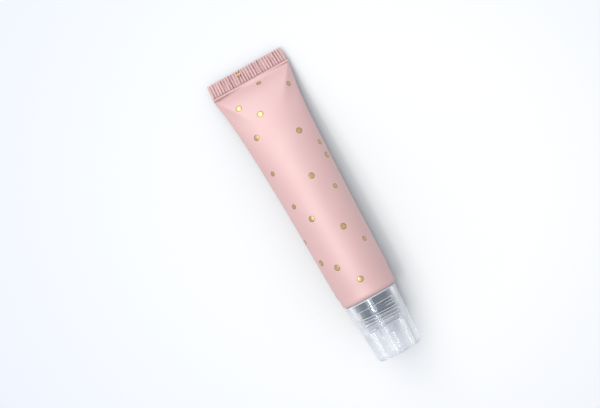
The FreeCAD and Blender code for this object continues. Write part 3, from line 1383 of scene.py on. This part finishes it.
@dataclass
class ThreadedHead(SubAssembly):
    """The head: flange in the sleeve's rim, collar, threaded neck, nozzle and bore."""

    places: Places
    finish: Finish
    flange_radius: float = 8.68
    flange_round: float = 0.7
    rim_bore: float = 8.0
    rim_gap: float = 0.01
    rim_fold: float = 0.45
    rim_round: float = 0.12
    collar_radius: float = 6.2
    collar_length: float = 2.6
    collar_round: float = 0.15
    neck_radius: float = 5.65
    neck_length: float = 9.4
    neck_round: float = 0.5
    bore_radius: float = 4.2
    roof: float = 1.1
    nozzle_radius: float = 3.3
    nozzle_tip_radius: float = 2.9
    nozzle_round: float = 0.8
    orifice_radius: float = 0.9
    orifice_round: float = 0.2
    thread_start: float = 3.6
    thread_foot: float = 1.0
    thread_crest: float = 0.35
    steps: int = 192

    def build(self) -> list[Piece]:
        """Spin the head and raise its thread.

        Returns:
            A list with the piece's object.
        """
        places = self.places
        shoulder = places.shoulder_x
        collar_end = shoulder + self.collar_length
        neck_end = shoulder + self.neck_length
        roof_start = neck_end - self.roof
        plug_radius = self.rim_bore - self.rim_gap
        corners = [
            Corner(places.flange_x, self.bore_radius),
            Corner(places.flange_x, self.flange_radius),
            Corner(shoulder - self.rim_fold, self.flange_radius, self.flange_round),
            Corner(shoulder - self.rim_fold, plug_radius),
            Corner(shoulder, plug_radius, self.rim_round),
            Corner(shoulder, self.collar_radius),
            Corner(collar_end, self.collar_radius, self.collar_round),
            Corner(collar_end, self.neck_radius),
            Corner(neck_end, self.neck_radius, self.neck_round),
            Corner(neck_end, self.nozzle_radius),
            Corner(places.nozzle_end_x, self.nozzle_tip_radius, self.nozzle_round),
            Corner(places.nozzle_end_x, self.orifice_radius, self.orifice_round),
            Corner(roof_start, self.orifice_radius),
            Corner(roof_start, self.bore_radius),
        ]
        shape = spin_profile(corners, self.steps, self.neck_radius)
        helix = Helix(shoulder + self.thread_start, THREAD_PITCH, THREAD_TURNS,
                      self.thread_foot, self.thread_crest, THREAD_HEIGHT)
        cut_thread(shape, helix, self.neck_radius, collar_end, neck_end)
        bmesh.ops.translate(shape, vec=(0, 0, places.axis_z), verts=shape.verts)
        role = Role("neck_and_nozzle", Body.TUBE, "threaded_head")
        return [self.finished(shape, role, self.finish, 42.0)]


@dataclass
class ScrewCap(SubAssembly):
    """The thick clear cap, with its internal thread as grooves in the wide bore.

    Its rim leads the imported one's mouth a little, and all but meets the shoulder.
    """

    places: Places
    finish: Finish
    mouth_radius: float = 8.5
    mouth_round: float = 0.25
    rim_lead: float = 0.2
    end_radius: float = 7.4
    end_round: float = 1.6
    mouth_bore: float = 6.75
    mouth_bore_length: float = 2.45
    mouth_step: float = 0.25
    wide_bore: float = 6.4
    wide_bore_length: float = 9.8
    bore_step: float = 0.3
    narrow_bore: float = 4.4
    bore_draft: float = 0.3
    bore_round: float = 0.4
    end_wall: float = 0.9
    groove_start: float = 3.8
    groove_mouth: float = 1.3
    groove_floor: float = 0.4
    grooved_from: float = 2.8
    grooved_short: float = 0.1
    steps: int = 192

    def build(self) -> list[Piece]:
        """Spin the cap and cut its thread grooves.

        Returns:
            A list with the piece's object.
        """
        places = self.places
        mouth, end = places.cap_mouth_x, places.cap_end_x
        rim = mouth - self.rim_lead
        wide_end = mouth + self.wide_bore_length
        bore_end = end - self.end_wall
        corners = [
            Corner(end, 0.0),
            Corner(end, self.end_radius, self.end_round),
            Corner(rim, self.mouth_radius, self.mouth_round),
            Corner(rim, self.mouth_bore, self.mouth_round),
            Corner(mouth + self.mouth_bore_length, self.mouth_bore),
            Corner(mouth + self.mouth_bore_length + self.mouth_step, self.wide_bore),
            Corner(wide_end, self.wide_bore),
            Corner(wide_end + self.bore_step, self.narrow_bore),
            Corner(bore_end, self.narrow_bore - self.bore_draft, self.bore_round),
            Corner(bore_end, 0.0),
        ]
        shape = spin_profile(corners, self.steps, self.wide_bore, arc_segments=8)
        helix = Helix(mouth + self.groove_start, THREAD_PITCH, THREAD_TURNS,
                      self.groove_mouth, self.groove_floor, THREAD_HEIGHT)
        cut_thread(shape, helix, self.wide_bore, mouth + self.grooved_from,
                   wide_end - self.grooved_short)
        bmesh.ops.translate(shape, vec=(0, 0, places.axis_z), verts=shape.verts)
        role = Role("clear_cap", Body.CAP, "screw_cap")
        return [self.finished(shape, role, self.finish, 42.0)]


@dataclass
class BalmFilling(SubAssembly):
    """The balm inside the sleeve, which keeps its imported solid."""

    finish: Finish

    def build(self) -> list[Piece]:
        """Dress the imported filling.

        Returns:
            A list with the piece's object.
        """
        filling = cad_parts["balm_filling"]
        filling.data.materials.clear()
        filling.data.materials.append(self.finish.build())
        return [filling]


# ---------------------------------------------------------------- the studio


@dataclass(frozen=True)
class Softbox:
    """A softbox above the table, in metres."""

    name: str
    tilt_across: float
    tilt_along: float
    distance: float
    length: float
    width: float
    brightness: float
    colour: tuple = (1.0, 1.0, 1.0)

    @property
    def power(self) -> float:
        """Return the lamp's power in watts, from its brightness, which is 1 for white."""
        return self.brightness * math.pi * self.length * self.width


@dataclass
class Studio:
    """The pale table, the lights and the camera."""

    sky: float = 0.53
    sky_tint: tuple = (0.91, 0.94, 1.0)
    table_size: float = 3.0
    camera_centre: tuple = (-4.58, -5.19)
    camera_roll: float = 60.97
    camera_height: float = 0.808
    lens: float = 155.0

    def softboxes(self) -> list[Softbox]:
        """List the lamps.

        Returns:
            The lamps' sizes and places.
        """
        return [
            Softbox("wide_softbox", tilt_across=-19.0, tilt_along=-17.0, distance=1.8,
                    length=2.0, width=1.2, brightness=2.15, colour=(1.0, 0.99, 0.965)),
            Softbox("strip_softbox", tilt_across=-20.0, tilt_along=2.0, distance=1.7,
                    length=0.5, width=0.12, brightness=14.0),
            Softbox("tail_softbox", tilt_across=-14.0, tilt_along=-56.0, distance=1.7,
                    length=1.0, width=0.9, brightness=2.0),
        ]

    def light(self) -> None:
        """Hang the lamps and set the sky."""
        for box in self.softboxes():
            lamp = bpy.data.lights.new(box.name, "AREA")
            lamp.shape = "RECTANGLE"
            lamp.size, lamp.size_y = box.length, box.width
            lamp.energy = box.power
            lamp.color = box.colour
            turn = (Matrix.Rotation(math.radians(-box.tilt_across), 4, "X")
                    @ Matrix.Rotation(math.radians(box.tilt_along), 4, "Y"))
            hung = turn @ Matrix.Translation((0, 0, box.distance))
            add_object(box.name, lamp).matrix_world = hung
        world = bpy.data.worlds.new("studio_sky")
        world.use_nodes = True
        bpy.context.scene.world = world
        nodes = Nodes(world.node_tree)
        sky = nodes.socket("Background", {"Color": (*self.sky_tint, 1.0),
                                          "Strength": self.sky})
        backdrop = nodes.socket("Background", {"Color": (1, 1, 1, 1), "Strength": 1.0})
        direct = nodes.greater(nodes.ray("Camera"), nodes.ray("Glossy"))
        shown = nodes.greater(direct, nodes.ray("Transmission"))
        nodes.add("OutputWorld", {"Surface": nodes.layered(shown, sky, backdrop)})

    def lay_table(self) -> None:
        """Lay the pale surface under the tube."""
        shape = bmesh.new()
        bmesh.ops.create_grid(shape, x_segments=1, y_segments=1,
                              size=self.table_size / 2)
        mesh = bpy.data.meshes.new("table_top")
        shape.to_mesh(mesh)
        shape.free()
        mesh.materials.append(PaleSurface("pale_surface").build())
        table = add_object("table_top", mesh)

    def set_camera(self) -> None:
        """Hang the camera straight above the tube."""
        camera = bpy.data.cameras.new("camera")
        camera.lens = self.lens
        holder = add_object("camera", camera)
        x, y = self.camera_centre
        place = Matrix.Translation((x * MM, y * MM, self.camera_height))
        turn = Matrix.Rotation(math.radians(self.camera_roll), 4, "Z")
        holder.matrix_world = place @ turn
        bpy.context.scene.camera = holder
        bpy.context.scene.view_settings.view_transform = "Standard"


def main() -> None:
    """Build every sub-assembly and the studio, and report each piece."""
    logging.basicConfig(level=logging.INFO, format="%(name)s: %(message)s")
    places = Places.read()
    form = SleeveForm(places)
    assemblies = [
        Sleeve(form, SatinFilm("pink_satin_film")),
        FoilDots(form, GoldFoil("gold_foil")),
        ThreadedHead(places, SilverPlastic("silver_plastic")),
        ScrewCap(places, ClearPlastic("clear_plastic")),
        BalmFilling(SoftBalm("soft_balm")),
    ]
    for assembly in assemblies:
        for piece in assembly.build():
            LOG.info("%s: %d faces", piece.name, len(piece.data.polygons))
    studio = Studio()
    studio.light()
    studio.lay_table()
    studio.set_camera()


if __name__ == "__main__":
    main()
